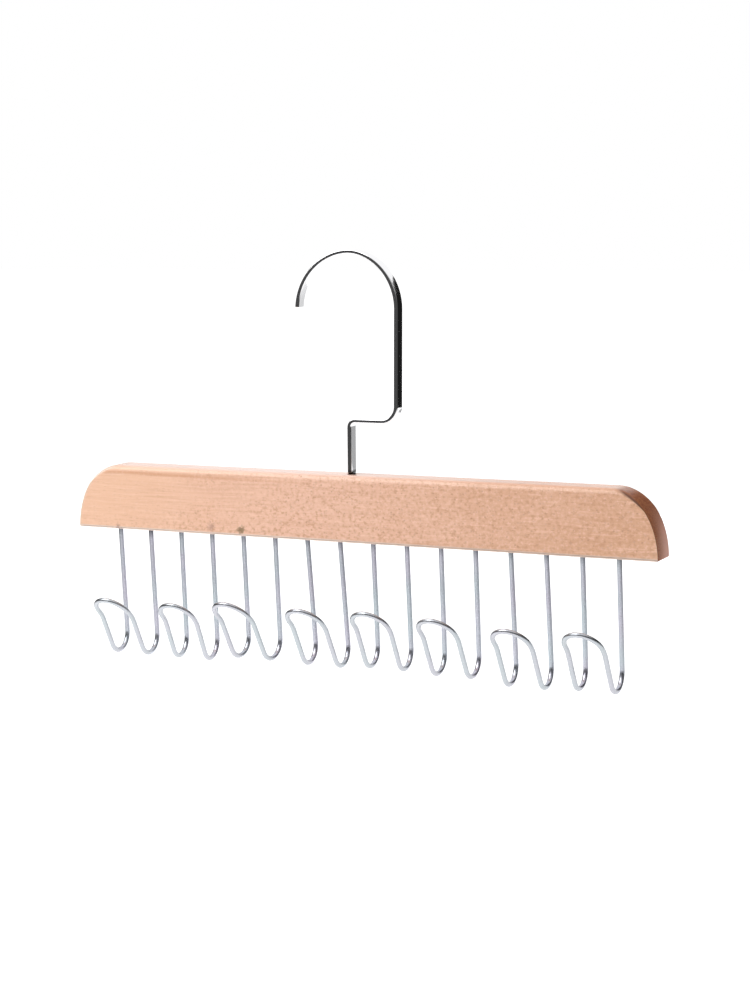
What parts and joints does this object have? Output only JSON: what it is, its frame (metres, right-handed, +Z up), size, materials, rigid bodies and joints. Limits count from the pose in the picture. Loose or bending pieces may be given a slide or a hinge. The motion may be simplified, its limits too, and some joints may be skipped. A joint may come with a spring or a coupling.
{
  "type": "multi-hook hanger",
  "caption": "Wooden bar hanger on a swivelling flat-strip rail hook, with a row of bent double wire hooks below for straps, ties and belts.",
  "frame": {"origin": "rail seat: the highest point of the inner face of the crook, at the middle of the strip's width", "axes": "+X along the bar, +Z up, -Y towards the front, where the wire loops stand out"},
  "size_m": [0.28, 0.0387, 0.1872],
  "materials": {
    "beech": "satin clear varnish",
    "polished_strip": "polished",
    "plated_wire": "bright zinc plating",
    "plain_steel": "plain"
  },
  "bodies": {
    "hook": {"top_hook": "polished_strip"},
    "bar": {"wooden_bar": "beech", "hook_bush": "plain_steel", "hook_washer": "plain_steel", "wire_hook_1": "plated_wire", "wire_hook_2": "plated_wire", "wire_hook_3": "plated_wire", "wire_hook_4": "plated_wire", "wire_hook_5": "plated_wire", "wire_hook_6": "plated_wire", "wire_hook_7": "plated_wire", "wire_hook_8": "plated_wire"}
  },
  "joints": [
    {"name": "hook_swivel", "type": "hinge", "parent": "hook", "child": "bar", "pos_m": [0, 0, -0.09667], "axis": [0, 0, 1], "continuous": true}
  ]
}
